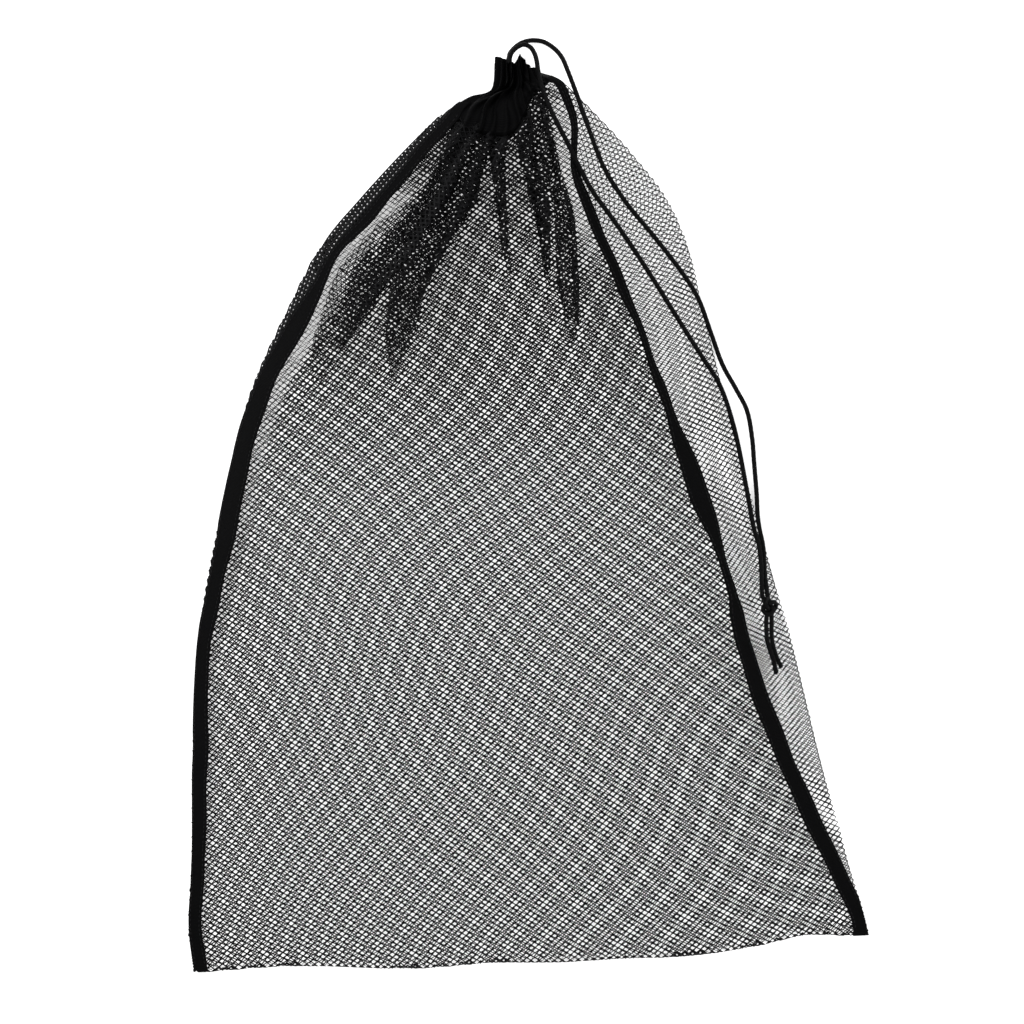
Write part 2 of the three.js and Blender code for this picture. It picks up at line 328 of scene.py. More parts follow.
# Widths of the tapes at rows of the section table, and how far each runs up
LEFT_TAPE = [
    (0, 6), (0.12, 9), (0.3, 10.6), (1, 9.9), (2, 11.4), (3, 12.2), (4, 11), (4.7, 12), (5, 14.4),
    (5.3, 15.2), (5.6, 14.2), (6.2, 13), (6.6, 14), (6.85, 13.6), (7.1, 10.5), (7.4, 7.8), (8, 6.6),
    (9.5, 7.6), (10.5, 9), (12.4, 9),
]
RIGHT_TAPE = [
    (0, 15), (0.5, 12), (1, 12), (2, 13), (3.2, 13), (4, 12), (4.4, 10), (4.55, 6.4), (4.9, 6.2), (5.1, 9),
    (5.25, 12.6), (5.4, 14.2), (5.55, 14.2), (5.7, 13.2), (5.85, 11.2), (6, 7.6), (6.15, 5.6), (6.4, 7),
    (6.6, 5.4), (7.3, 5), (7.8, 6.8), (8.5, 7.4), (9.2, 7.6), (10, 5.6), (11, 5.2), (12, 5), (13.4, 4.6),
]

# Points along the cords: from the casing down to the knot, then the two ends below it
CORD_ROUTES = {
    "drawstring_outer": [
        (-15.8, 340.8, 20.4), (-15, 344.2, 17.8), (-12.6, 347.8, 14.6), (-8, 352.2, 10.2), (-2.2, 355, 6),
        (3.6, 355.9, 3.2), (10, 355, 2.2), (17.6, 350.2, 3.6), (23.6, 342.6, 9), (28, 331.6, 16),
        (34.4, 314, 20.8),
        (43, 289, 24.6), (55, 258, 25.4),
        (70.5, 233.5, 24.4), (93, 206.5, 20.8), (116, 177.5, 13.6), (126, 161.5, 8.8), (135.6, 136, 5.2),
        (144.2, 113, 2.6), (154.2, 95, 2.2), (162.4, 79, 2.2), (166.4, 58, 2.2), (167.8, 41, 2.2),
        (169.8, 15.5, 2.6), (170.4, 0, 4.8), (171.8, -10.5, 5.9), (174.2, -22, 6.6), (175, -33, 8.3),
        (175.4, -44, 9.9), (176.6, -54, 10.8), (177.4, -60.5, 11.2),
    ],
    "drawstring_inner": [
        (-14.8, 341.2, 24.4), (-13.4, 344.6, 22), (-9.4, 348.8, 18.8), (-4.4, 350.8, 17.2),
        (0.2, 348.8, 17.6), (3.2, 344, 20), (4.8, 338, 24.4), (5.8, 330.5, 28.6), (8.4, 317.5, 33.6),
        (17.4, 295, 38), (28, 275, 34.2), (34.8, 261, 33),
        (46, 240.5, 32.1), (61, 220, 30.7), (75.6, 199, 29.6), (91.8, 174.5, 27),
        (111, 144.5, 21.8), (127.8, 119, 14.6), (141.6, 98, 7.8), (152.4, 67, 5), (161.3, 23.5, 7.2),
        (165, 2, 8.7), (167.6, -11, 9.3), (171, -22, 9.4), (172.3, -33, 11), (172.7, -44, 12.6),
        (173, -54, 13), (173.4, -60.5, 13.5),
    ],
    "drawstring_tail_inner": [
        (176.4, -75.8, 14.2), (176.2, -85, 15.2), (176.8, -93.5, 15.8), (180, -104, 16), (182.2, -111, 15),
        (183.6, -118.6, 15),
    ],
    "drawstring_tail_outer": [
        (180.2, -75.6, 12.2), (180.1, -85, 13.2), (180.6, -94, 13.9), (183, -103.4, 13.7),
        (185.4, -109, 13.1), (187.8, -113.8, 12.5),
    ],
}


def mix(start, end, share):
    return start + (end - start) * share


def smooth(value, low, high):
    share = np.clip((value - low) / (high - low), 0, 1)
    return share * share * (3 - 2 * share)


# Form of the bag

def section_at(at, names=SECTION_COLUMNS):
    """Values of the section table between its rows, on a smooth curve through them."""
    at = np.clip(np.asarray(at, float), 0, TOP_ROW)
    last = len(SECTIONS) - 1
    start = np.minimum(at.astype(int), last - 1)
    part = at - start
    square = part**2
    cube = part**3
    section = {}
    for name in names:
        column = SECTIONS[:, SECTION_COLUMNS.index(name)]
        near = column[start]
        far = column[start + 1]
        leave = (far - column[np.maximum(start - 1, 0)]) / 2
        arrive = (column[np.minimum(start + 2, last)] - near) / 2
        section[name] = (near * (2 * cube - 3 * square + 1) + leave * (cube - 2 * square + part)
                         + far * (3 * square - 2 * cube) + arrive * (cube - square))
    return SimpleNamespace(**section)


def line_height(at, section, share):
    """Plan height of a section line, with its sag and the rise of the bottom fold."""
    rise = 0
    for across, wide, tall in RISES:
        rise = rise + tall * np.exp(-(((share - across) / wide) ** 2))
    straight = mix(section.left_y, section.right_y, share)
    return straight - section.bow * 4 * share * (1 - share) + rise * np.clip(1 - at, 0, 1)


def plan_at(at, share):
    """Plan position at a share of the way from the left outline to the right one."""
    section = section_at(at, OUTLINE_COLUMNS)
    rim = np.clip(at - TOP_ROW + 1, 0, 1) * RIM_DEPTH * np.sin(2 * np.pi * RIM_WAVES * share)
    x = mix(section.left_x, section.right_x, share)
    return x, line_height(at, section, share) + rim


def width_at(at):
    section = section_at(at, OUTLINE_COLUMNS)
    return np.hypot(section.right_x - section.left_x, section.right_y - section.left_y)


def seams_at(at):
    """Shares across of the two seam lines."""
    section = section_at(at)
    width = width_at(at)
    return section.left_inset / width, 1 - section.right_inset / width


def rows_of(x, y):
    """Row of the section table and share across, for points of the plan, found by halving."""
    low = np.full(np.shape(x), SEARCH_ROWS[0])
    high = np.full(np.shape(x), SEARCH_ROWS[1])
    for _ in range(SEARCH_HALVINGS):
        at = (low + high) / 2
        section = section_at(at, OUTLINE_COLUMNS)
        share = (x - section.left_x) / (section.right_x - section.left_x)
        above = line_height(at, section, share) + BELOW_FOLD * np.minimum(at, 0) < y
        low = np.where(above, at, low)
        high = np.where(above, high, at)
    return at, share


def top_height(at, share):
    """Height of the front above the floor."""
    section = section_at(at)
    x, y = plan_at(at, share)
    side = np.abs(2 * np.clip(share, 0, 1) - 1)
    edge = mix(EDGE_FLAT, EDGE_NECK, section.neck)
    arch = (1 - side**ARCH_POWER) ** mix(ROUND_FLAT, ROUND_NECK, section.neck)
    left, right = seams_at(at)
    half = TAPE_WIDTH / 2 / width_at(at)
    front = (share - left - half) / (right - left - 2 * half)
    height = edge + (section.crown - edge) * arch
    for across, wide, tall, start in FOLDS:
        grown = smooth(at, start, start + FOLD_GROWS) * section.folds
        height = height + FOLD_SHARE * tall * grown * np.exp(-(((front - across) / wide) ** 2))
    dent = 0
    for dent_x, dent_y, radius, depth in DENTS:
        dent = dent + depth * np.exp(-((x - dent_x) ** 2 + (y - dent_y) ** 2) / radius**2)
    return height - dent * arch * (1 - section.neck) * np.minimum(1, section.crown / DENT_CROWN)


def under_height(at, share):
    """Height of the back, which lies on the floor up to its edges."""
    neck = section_at(at, ["neck"]).neck
    side = np.abs(2 * np.clip(share, 0, 1) - 1)
    lying = mix(EDGE_FLAT, EDGE_NECK, neck) * side ** mix(UNDER_FLAT, UNDER_NECK, neck)
    fold = EDGE_FLAT * np.clip(1 - at / UNDER_FOLD_ROWS, 0, 1)
    return np.maximum(np.maximum(lying, fold), NET_FLOOR)


def casing_start(share):
    """Row where the casing begins, further up at the right."""
    return mix(CASING_START, CASING_START_RIGHT, smooth(share, *CASING_CLIMB))


def on_front(at, share, lift):
    """Places a lift above the front, square to its slope across the bag."""
    step = SLOPE_STEP / width_at(at)
    slope = top_height(at, share + step) - top_height(at, share - step)
    tall = np.hypot(1, slope)
    x, y = plan_at(at, share)
    return np.stack([x - lift * slope / tall, y, top_height(at, share) + lift / tall], -1)


# Meshes

def points_of(bm):
    return np.array([vert.co for vert in bm.verts])


def move_points(bm, places):
    for vert, place in zip(bm.verts, places):
        vert.co = place


def finish_piece(name, bm, finish):
    """Makes the object of a mesh in millimetres."""
    bmesh.ops.scale(bm, vec=(METRE, METRE, METRE), verts=bm.verts)
    mesh = bpy.data.meshes.new(name)
    bm.to_mesh(mesh)
    bm.free()
    mesh.polygons.foreach_set("use_smooth", [True] * len(mesh.polygons))
    piece = bpy.data.objects.new(name, mesh)
    bpy.context.scene.collection.objects.link(piece)
    mesh.materials.append(finish)
    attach(piece, "root")
    return piece


def sweep(around, along, place, attribute, closed_along=False):
    """Tube from a grid, where place gives points and weave values for shares around and along."""
    bm = bmesh.new()
    bmesh.ops.create_grid(bm, x_segments=around, y_segments=along, size=0.5)
    flat = points_of(bm) + 0.5
    places, weave = place(flat[:, 0], flat[:, 1])
    layer = bm.verts.layers.float_vector.new(attribute)
    for vert, value in zip(bm.verts, weave):
        vert[layer] = value
    move_points(bm, places)
    bmesh.ops.remove_doubles(bm, verts=bm.verts, dist=1e-3)
    if not closed_along:
        rims = [edge for edge in bm.edges if edge.is_boundary]
        bmesh.ops.holes_fill(bm, edges=rims, sides=0)
    bmesh.ops.recalc_face_normals(bm, faces=bm.faces)
    return bm


def even_line(points, step):
    """Evenly spaced places on a smooth line through points."""
    points = np.array(points, float)
    points = np.concatenate([[2 * points[0] - points[1]], points, [2 * points[-1] - points[-2]]])
    knots = np.concatenate([[0], np.cumsum(np.linalg.norm(np.diff(points, axis=0), axis=1) ** 0.5)])
    slopes = np.gradient(points, knots, axis=0)
    line = []
    part = np.linspace(0, 1, CORD_SPAN_PARTS, endpoint=False)[:, None]
    turned = 3 * part**2 - 2 * part**3
    for index in range(1, len(points) - 2):
        span = knots[index + 1] - knots[index]
        line.append(mix(points[index], points[index + 1], turned)
                    + span * slopes[index] * (part**3 - 2 * part**2 + part)
                    + span * slopes[index + 1] * (part**3 - part**2))
    line.append(points[-2:-1])
    line = np.concatenate(line)
    length = np.concatenate([[0], np.cumsum(np.linalg.norm(np.diff(line, axis=0), axis=1))])
    count = max(2, round(length[-1] / step))
    wanted = np.linspace(0, length[-1], count + 1)
    return np.stack([np.interp(wanted, length, line[:, axis]) for axis in range(3)], -1)


def line_frames(line, closed=False):
    """Two directions square to a line at each of its places, turning as little as they can."""
    ahead = np.gradient(line, axis=0)
    if closed:
        ahead[0] = ahead[-1] = line[1] - line[-2]
    ahead /= np.linalg.norm(ahead, axis=1)[:, None]
    first = np.cross(ahead[0], CORD_FIRST_SIDE)
    firsts = [first / np.linalg.norm(first)]
    for direction in ahead[1:]:
        first = firsts[-1] - direction * np.dot(firsts[-1], direction)
        firsts.append(first / np.linalg.norm(first))
    firsts = np.array(firsts)
    if closed:
        sine = np.dot(np.cross(firsts[-1], firsts[0]), ahead[0])
        turn = math.atan2(sine, np.dot(firsts[-1], firsts[0]))
        angle = np.linspace(0, turn, len(line))[:, None]
        firsts = firsts * np.cos(angle) + np.cross(ahead, firsts) * np.sin(angle)
    return firsts, np.cross(ahead, firsts)


def line_length(line):
    return float(np.linalg.norm(np.diff(line, axis=0), axis=1).sum())


def braided_tube(name, line, radius, sides, finish, closed=False, melted=False):
    """Round cord along a line, with its braid raised and, where it is melted, a rounded smooth end."""
    first, second = line_frames(line, closed)
    length = line_length(line)
    steps = len(line) - 1
    plaits = round(length / BRAID_LONG)

    def place(around, along):
        index = np.rint(along * steps).astype(int)
        angle = 2 * np.pi * around
        far = along * length
        turns = BRAID_ROUND * angle
        wave = 2 * np.pi * plaits * along
        braid = np.maximum(np.sin(turns + wave), np.sin(turns - wave))
        seal = np.clip((far - length + MELTED_END) / MELTED_END, 0, 1) if melted else np.zeros_like(far)
        girth = radius + BRAID_RELIEF * (braid - 0.5) * (1 - seal)
        drop = np.maximum(MELTED_LEAST, 1 + MELTED_SWELL * seal - MELTED_CLOSE * seal**3)
        girth = girth * np.where(seal > 0, np.sqrt(drop), 1)
        offset = first[index] * np.cos(angle)[:, None] + second[index] * np.sin(angle)[:, None]
        return line[index] + offset * girth[:, None], np.stack([around, plaits * along, seal], -1)

    bm = sweep(sides, steps, place, "braid", closed)
    return finish_piece(name, bm, finish)


# Shaders

class Value:
    """A number in a shader, so that sums of sockets read as sums."""

    def __init__(self, finish, socket):
        self.finish = finish
        self.socket = socket

    def math(self, operation, *others):
        inputs = [other.socket if isinstance(other, Value) else other for other in (self, *others)]
        node = self.finish.node("ShaderNodeMath", {"operation": operation}, dict(enumerate(inputs)))
        return Value(self.finish, node.outputs[0])

    def swapped(self, operation, other):
        node = self.finish.node("ShaderNodeMath", {"operation": operation}, {0: other, 1: self.socket})
        return Value(self.finish, node.outputs[0])

    def __add__(self, other):
        return self.math("ADD", other)

    def __sub__(self, other):
        return self.math("SUBTRACT", other)

    def __rsub__(self, other):
        return self.swapped("SUBTRACT", other)

    def __mul__(self, other):
        return self.math("MULTIPLY", other)

    def __lt__(self, other):
        return self.math("LESS_THAN", other)

    def __abs__(self):
        return self.math("ABSOLUTE")


class Finish:
    """A material built from nodes round one Principled shader, with its fixed values set on the sockets."""

    def __init__(self, name, fixed):
        self.material = bpy.data.materials.new(name)
        self.material.use_nodes = True
        self.tree = self.material.node_tree
        self.shader = self.tree.nodes["Principled BSDF"]
        for socket, value in fixed.items():
            self.shader.inputs[socket].default_value = value

    def node(self, kind, settings=None, inputs=None):
        node = self.tree.nodes.new(kind)
        for setting, value in (settings or {}).items():
            setattr(node, setting, value)
        for socket, value in (inputs or {}).items():
            if isinstance(value, Value):
                value = value.socket
            if isinstance(value, bpy.types.NodeSocket):
                self.tree.links.new(value, node.inputs[socket])
            else:
                node.inputs[socket].default_value = value
        return node

    def noise(self, scale, detail=3):
        where = self.node("ShaderNodeTexCoord").outputs["Object"]
        node = self.node("ShaderNodeTexNoise", None, {"Vector": where, "Scale": scale, "Detail": detail})
        return Value(self, node.outputs["Fac"])

    def weave(self, attribute):
        """The three weave values that a mesh carries."""
        where = self.node("ShaderNodeAttribute", {"attribute_name": attribute}).outputs["Vector"]
        parts = self.node("ShaderNodeSeparateXYZ", None, {0: where})
        return [Value(self, socket) for socket in parts.outputs]

    def colour(self, dark, light, share):
        inputs = {"Factor": share, 6: (*dark, 1), 7: (*light, 1)}
        node = self.node("ShaderNodeMix", {"data_type": "RGBA"}, inputs)
        self.tree.links.new(node.outputs[2], self.shader.inputs["Base Color"])

    def roughness(self, value):
        self.tree.links.new(value.socket, self.shader.inputs["Roughness"])

    def bump(self, height, strength, distance):
        inputs = {"Height": height, "Strength": strength, "Distance": distance}
        node = self.node("ShaderNodeBump", None, inputs)
        self.tree.links.new(node.outputs["Normal"], self.shader.inputs["Normal"])


def wave(value, times):
    return (value * (2 * math.pi * times)).math("SINE")


def netting_finish():
    """Twisted black yarn, with its filaments running along each strand."""
    finish = Finish("netting", {"Specular IOR Level": 0.07})
    across, along, _ = finish.weave("strand")
    off_across = across - across.math("ROUND")
    off_along = along - along.math("ROUND")
    runs_along = abs(off_across) < abs(off_along)
    twist_along = wave(along + off_across * 2.2, 7)
    twist_across = wave(across + off_along * 2.2, 7)
    twist = twist_along * runs_along + twist_across * (1 - runs_along)
    dust = finish.noise(90, 5)
    finish.colour(YARN_DARK, YARN_LIGHT, dust * 0.7 + twist * 0.12)
    finish.roughness(dust * 0.25 + 0.45)
    finish.bump(twist, 0.5, 0.0001)
    return finish.material


def ribbed_finish(name, rib, warp):
    """Woven tape with ribs across it and fine warp threads between its edges."""
    finish = Finish(name, {"Specular IOR Level": 0.04})
    across, along, edge = finish.weave("ribs")
    ribs = wave(along, 1 / rib)
    threads = wave(across, 1 / warp)
    weave = ribs * 0.6 + threads * ribs * 0.4
    dust = finish.noise(140, 6)
    worn = finish.noise(900, 2)
    finish.colour(CLOTH_DARK, CLOTH_LIGHT, dust * 0.45 + weave * 0.14 + edge * worn * 0.5)
    finish.roughness(dust * 0.2 + weave * 0.06 + 0.6)
    finish.bump(weave, 0.6, 0.00018)
    return finish.material


def braid_finish():
    """Braided black cord, shiny where its end is melted."""
    finish = Finish("braided_cord", {"Specular IOR Level": 0.06})
    around, along, seal = finish.weave("braid")
    one_way = wave(around * BRAID_ROUND + along, 1)
    other_way = wave(around * BRAID_ROUND - along, 1)
    braid = one_way.math("MAXIMUM", other_way)
    threads = wave(around * 26 + along * 4, 1) * 0.3
    relief = (braid + threads) * (1 - seal)
    dust = finish.noise(160, 5)
    finish.colour(CLOTH_DARK, CLOTH_LIGHT, dust * 0.5 + relief * 0.2)
    finish.roughness(dust * 0.2 + 0.46 - seal * 0.2)
    finish.bump(relief, 0.55, 0.0002)
    return finish.material


def thread_finish():
    finish = Finish("sewing_thread", {"Specular IOR Level": 0.1})
    dust = finish.noise(1200, 4)
    finish.colour(YARN_DARK, THREAD_LIGHT, dust)
    finish.roughness(dust * 0.2 + 0.45)
    finish.bump(dust, 0.4, 0.0001)
    return finish.material


netting = netting_finish()
tape_cloth = ribbed_finish("ribbed_tape", rib=1.1, warp=0.55)
casing_cloth = ribbed_finish("casing_cloth", rib=0.8, warp=0.8)
cord_braid = braid_finish()
thread = thread_finish()


# Cords and their knot

def cord_path(name):
    """Route of a cord, led a little way into the casing and the knot where it comes out of them."""
    route = [np.array(point) for point in CORD_ROUTES[name]]
    middle = np.array([KNOT.x, KNOT.y, KNOT.z])
    if name.startswith("drawstring_tail"):
        route.insert(0, mix(route[0], middle, KNOT.cord_inside))
    else:
        out = np.array(CORD_OUT)
        route.insert(0, route[0] - CORD_INSIDE * out / np.linalg.norm(out))
        route.append(mix(route[-1], middle, KNOT.cord_inside))
    return even_line(route, CORD_STEP)


def knot_line():
    """Line of a three-lobed knot, tilted and put in place."""
    turn = np.linspace(0, 4 * np.pi, KNOT.steps + 1)
    ring = KNOT.radius * (2 + np.cos(1.5 * turn)) * 0.5
    local = np.stack([ring * np.cos(turn), ring * np.sin(turn), KNOT.rise * np.sin(1.5 * turn)], -1)
    lean = np.array(Matrix.Rotation(KNOT.lean, 3, "Y"))
    return local @ lean.T + (KNOT.x, KNOT.y, KNOT.z)


knot = braided_tube("cord_knot", knot_line(), KNOT.tube, KNOT.sides, cord_braid, closed=True)
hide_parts("drawstring_knot")

for node in CORD_ROUTES:
    line = cord_path(node)
    tail = node.startswith("drawstring_tail")
    name = node.replace("drawstring", "cord")
    cord = braided_tube(name, line, CORD_RADIUS, CORD_SIDES, cord_braid, melted=tail)
    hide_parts(node)


# Netting

def diamond_sheet(turn, corners):
    """Flat grid of diamonds that covers a box of the plan. Its points count strands, not millimetres."""
    strands = Matrix.Rotation(turn, 2) @ Matrix(
        ((HOLE_WIDE / 2, -HOLE_WIDE / 2), (HOLE_HIGH / 2, HOLE_HIGH / 2)))
    counts = np.array(strands.inverted())
    low_x, low_y, high_x, high_y = corners
    box = np.array([(x, y) for x in (low_x, high_x) for y in (low_y, high_y)]) @ counts.T
    low = np.floor(box.min(0)) - 1
    size = np.ceil(box.max(0)) + 1 - low
    bm = bmesh.new()
    bmesh.ops.create_grid(bm, x_segments=int(size[0]), y_segments=int(size[1]), size=0.5)
    bmesh.ops.translate(bm, vec=(0.5, 0.5, 0), verts=bm.verts)
    bmesh.ops.scale(bm, vec=(size[0], size[1], 1), verts=bm.verts)
    bmesh.ops.translate(bm, vec=(low[0], low[1], 0), verts=bm.verts)
    return bm, np.array(strands)


def net_layer(turn, corners, strand_wide, keep, place):
    """Netting over a box of the plan, where keep says so of a diamond's corners, put in place in space."""
    bm, strands = diamond_sheet(turn, corners)
    bmesh.ops.transform(bm, matrix=Matrix(strands).to_4x4(), verts=bm.verts)
    plan = points_of(bm)[:, :2]
    wanted = keep(plan[:, 0], plan[:, 1])
    middles = np.array([face.calc_center_median() for face in bm.faces])[:, 1]
    inside = (middles >= corners[1]) & (middles < corners[3])
    outside = [face for face in bm.faces
               if not (inside[face.index] and all(wanted[vert.index] for vert in face.verts))]
    bmesh.ops.delete(bm, geom=outside, context="FACES")
    holes = bm.faces[:]
    strand = bm.verts.layers.float_vector.new("strand")
    middles = np.array([face.calc_center_median() for face in holes])
    widths = np.broadcast_to(strand_wide(middles[:, 0], middles[:, 1]), len(holes))
    for wide in np.unique(widths):
        faces = [face for face, own in zip(holes, widths) if own == wide]
        bmesh.ops.inset_individual(bm, faces=faces, thickness=wide / 2, use_even_offset=True)
    bmesh.ops.delete(bm, geom=holes, context="FACES_ONLY")
    border = [face for face in bm.faces if all(vert.is_boundary for vert in face.verts)]
    bmesh.ops.poke(bm, faces=border)
    plan = points_of(bm)[:, :2]
    for vert, number in zip(bm.verts, plan @ np.linalg.inv(strands).T):
        vert[strand] = (*number, 0)
    move_points(bm, place(plan[:, 0], plan[:, 1]))
    bm.normal_update()
    edges = [vert for vert in bm.verts if vert.is_boundary]
    ridges = [vert for vert in bm.verts if not vert.is_boundary]
    copied = bmesh.ops.duplicate(bm, geom=bm.verts[:] + bm.edges[:] + bm.faces[:])
    twin = copied["vert_map"]
    under = [item for item in copied["geom"] if isinstance(item, bmesh.types.BMFace)]
    bmesh.ops.reverse_faces(bm, faces=under)
    for vert in ridges:
        lift = vert.normal * STRAND_HALF
        twin[vert].co -= lift
        vert.co += lift
    bmesh.ops.weld_verts(bm, targetmap={twin[vert]: vert for vert in edges})
    return bm


def stepped(share, steps):
    """A share rounded to whole steps, so that a net has few widths of strand."""
    return np.round(steps * share) / steps


def slack(x, y, start, bow):
    """The lattice pulled a little out of true, as loose netting lies."""
    long = np.sin(y / LONG_WAVES.first_y + x / LONG_WAVES.first_x + start)
    long = long + SLACK_SECOND * np.sin(x / LONG_WAVES.second_x - y / LONG_WAVES.second_y + 2 * start)
    wide = np.sin(x / WIDE_WAVES.first_x - y / WIDE_WAVES.first_y + 3 * start)
    wide = wide + SLACK_SECOND * np.sin(y / WIDE_WAVES.second_y + x / WIDE_WAVES.second_x - start)
    return x + SLACK * long, y + SLACK * wide + bow * (x - BOW_MIDDLE) ** 2


def light_strip(at, share):
    """How far points are into a light strip, in quarters."""
    left, right = seams_at(at)
    light = 0
    for side, across in (("left", share - left), ("right", right - share)):
        wide, most, start, end = LIGHT_STRIPS[side]
        beside = across * width_at(at)
        strip = smooth(beside, *STRIP_STARTS) * (1 - smooth(beside, wide - STRIP_SOFT, wide + STRIP_SOFT))
        light = light + most * strip * smooth(at, *start) * (1 - smooth(at, *end))
    return stepped(light, 4)


def front_keep(x, y):
    """Which points of the plan belong to the front."""
    x, y = slack(x, y, *SLACK_FRONT)
    at, share = rows_of(x, y)
    left, right = seams_at(at)
    spare = SEAM_OVERLAP / width_at(at)
    inside = (share > left - spare) & (share < right + spare)
    return inside & (at < casing_start(share) + CASING_OVERLAP) & (at > -FOLD_ROW)


def plain_strand(y):
    """Width of a strand, which grows a little towards the mouth, in eighths."""
    return mix(STRAND_WIDE, STRAND_WIDE_UPPER, stepped(smooth(y, *STRAND_GROWS), 8))


def front_strand(x, y):
    """Width of the front's strands: denser at the neck, thin in the light strip, bunched at the fold."""
    at, share = rows_of(*slack(x, y, *SLACK_FRONT))
    gathered = stepped(smooth(at, *GATHER_ROWS), 4)
    wide = mix(plain_strand(y), STRAND_GATHERED, gathered)
    wide = mix(wide, STRAND_LIGHT, light_strip(at, share))
    return np.where(at < FOLD_ROW, STRAND_BUNCHED, wide)


def front_place(x, y):
    """The front, turned under at the bottom fold."""
    x, y = slack(x, y, *SLACK_FRONT)
    at, share = rows_of(x, y)
    _, fold_y = plan_at(np.zeros_like(x), share)
    past = np.maximum(fold_y - y, 0)
    height = np.where(past > 0, np.maximum(NET_FLOOR, EDGE_FLAT - FOLD_SLOPE * past), top_height(at, share))
    return np.stack([x, y + 2 * past, height], -1)


def outline_tree(edge_share):
    """Rows along an outline, and a tree that finds the one nearest to a point."""
    rows = np.linspace(0, casing_start(edge_share) + CASING_OVERLAP, OUTLINE_STEPS)
    x, y = plan_at(rows, np.full_like(rows, edge_share))
    tree = kdtree.KDTree(len(rows))
    for index, place in enumerate(zip(x, y)):
        tree.insert((*place, 0), index)
    tree.balance()
    return rows, tree


OUTLINES = {0: outline_tree(0), 1: outline_tree(1)}


def wrapped(x, y, edge_share):
    """Places over the edge on top for points beyond an outline, and how far past the seam each one is."""
    rows, tree = OUTLINES[edge_share]
    found = [tree.find((*point, 0)) for point in zip(x, y)]
    index = np.array([item[1] for item in found])
    away = np.array([item[2] for item in found])
    at = rows[index]
    seam = seams_at(at)[edge_share]
    steps = np.linspace(0, 1, WRAP_STEPS)
    share = edge_share + (seam - edge_share)[:, None] * WRAP_REACH * steps
    at_all = np.repeat(at[:, None], len(steps), axis=1)
    plan_x, plan_y = plan_at(at_all, share)
    path = np.stack([plan_x, plan_y, top_height(at_all, share)], -1)
    length = np.cumsum(np.linalg.norm(np.diff(path, axis=1), axis=2), axis=1)
    length = np.concatenate([np.zeros((len(x), 1)), length], axis=1)
    upper = np.clip((length < away[:, None]).sum(1), 1, len(steps) - 1)
    row = np.arange(len(x))
    part = (away - length[row, upper - 1]) / (length[row, upper] - length[row, upper - 1])
    place = mix(path[row, upper - 1], path[row, upper], np.clip(part, 0, 1)[:, None])
    to_seam = length[row, np.searchsorted(steps, 1 / WRAP_REACH)]
    ends = (index == 0) | (index == len(rows) - 1)
    return place, np.where(ends, np.inf, away - to_seam)


def back_keep(x, y):
    """Which points of the plan belong to the back and to what is turned up over its sides."""
    x, y = slack(x, y, *SLACK_BACK)
    at, share = rows_of(x, y)
    wanted = (at > BACK_FIRST_ROW) & (at < casing_start(share) + CASING_OVERLAP)
    wanted = wanted & (share >= 0) & (share <= 1)
    for edge_share, beyond in ((0, share < 0), (1, share > 1)):
        beyond = beyond & (at > WRAP_FIRST_ROW)
        _, past = wrapped(x[beyond], y[beyond], edge_share)
        wanted[beyond] = past < SEAM_OVERLAP
    return wanted


def back_strand(x, y):
    """Width of the back's strands: thin where it is pulled to the right edge, bunched at the left."""
    at, share = rows_of(*slack(x, y, *SLACK_BACK))
    _, right = seams_at(at)
    wide = mix(plain_strand(y), STRAND_LIGHT, light_strip(at, share))
    wide = np.where(share > right, STRAND_UNDER_PULLED, wide)
    wide = np.where(share > 1, STRAND_PULLED, wide)
    return np.where(share < 0, STRAND_BUNCHED, wide)


def back_place(x, y):
    """The back, lying on the floor and turned up over both sides to the seams."""
    x, y = slack(x, y, *SLACK_BACK)
    at, share = rows_of(x, y)
    places = np.stack([x, y, under_height(at, share)], -1)
    for edge_share, beyond in ((0, share < 0), (1, share > 1)):
        if beyond.any():
            places[beyond] = wrapped(x[beyond], y[beyond], edge_share)[0]
    return places


